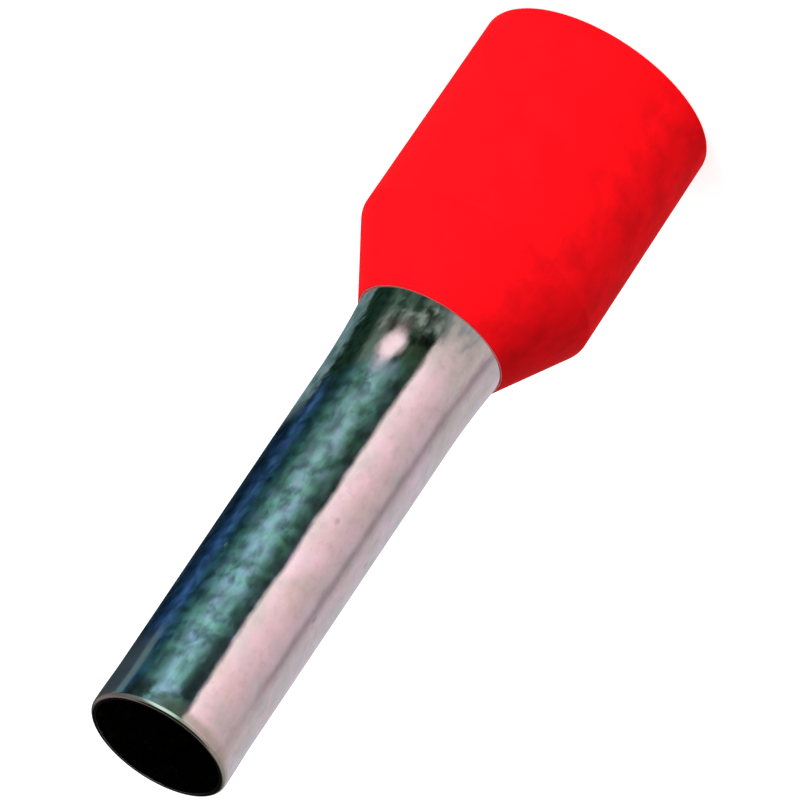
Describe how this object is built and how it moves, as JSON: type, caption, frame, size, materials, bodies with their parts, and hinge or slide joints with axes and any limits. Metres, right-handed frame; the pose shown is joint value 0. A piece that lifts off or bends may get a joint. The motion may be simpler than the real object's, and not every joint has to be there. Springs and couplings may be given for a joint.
{
  "type": "wire ferrule",
  "caption": "Insulated wire-end ferrule: thin tinned metal sleeve, flared into a round red plastic collar, crimped on a stranded conductor.",
  "frame": {"origin": "centre of the collar's open rim, on the common axis, where the ferrule stands", "axes": "+Z along the common axis, from the collar's open rim towards the tip of the sleeve"},
  "size_m": [0.0084, 0.0084, 0.028],
  "materials": {
    "tin_plate": "bright tin plate, clouded and lightly mottled, with fine draw lines along the sleeve",
    "red_plastic": "smooth moulded polypropylene with a soft, even sheen"
  },
  "bodies": {
    "root": {"barrel": "tin_plate", "collar": "red_plastic"}
  },
  "joints": []
}
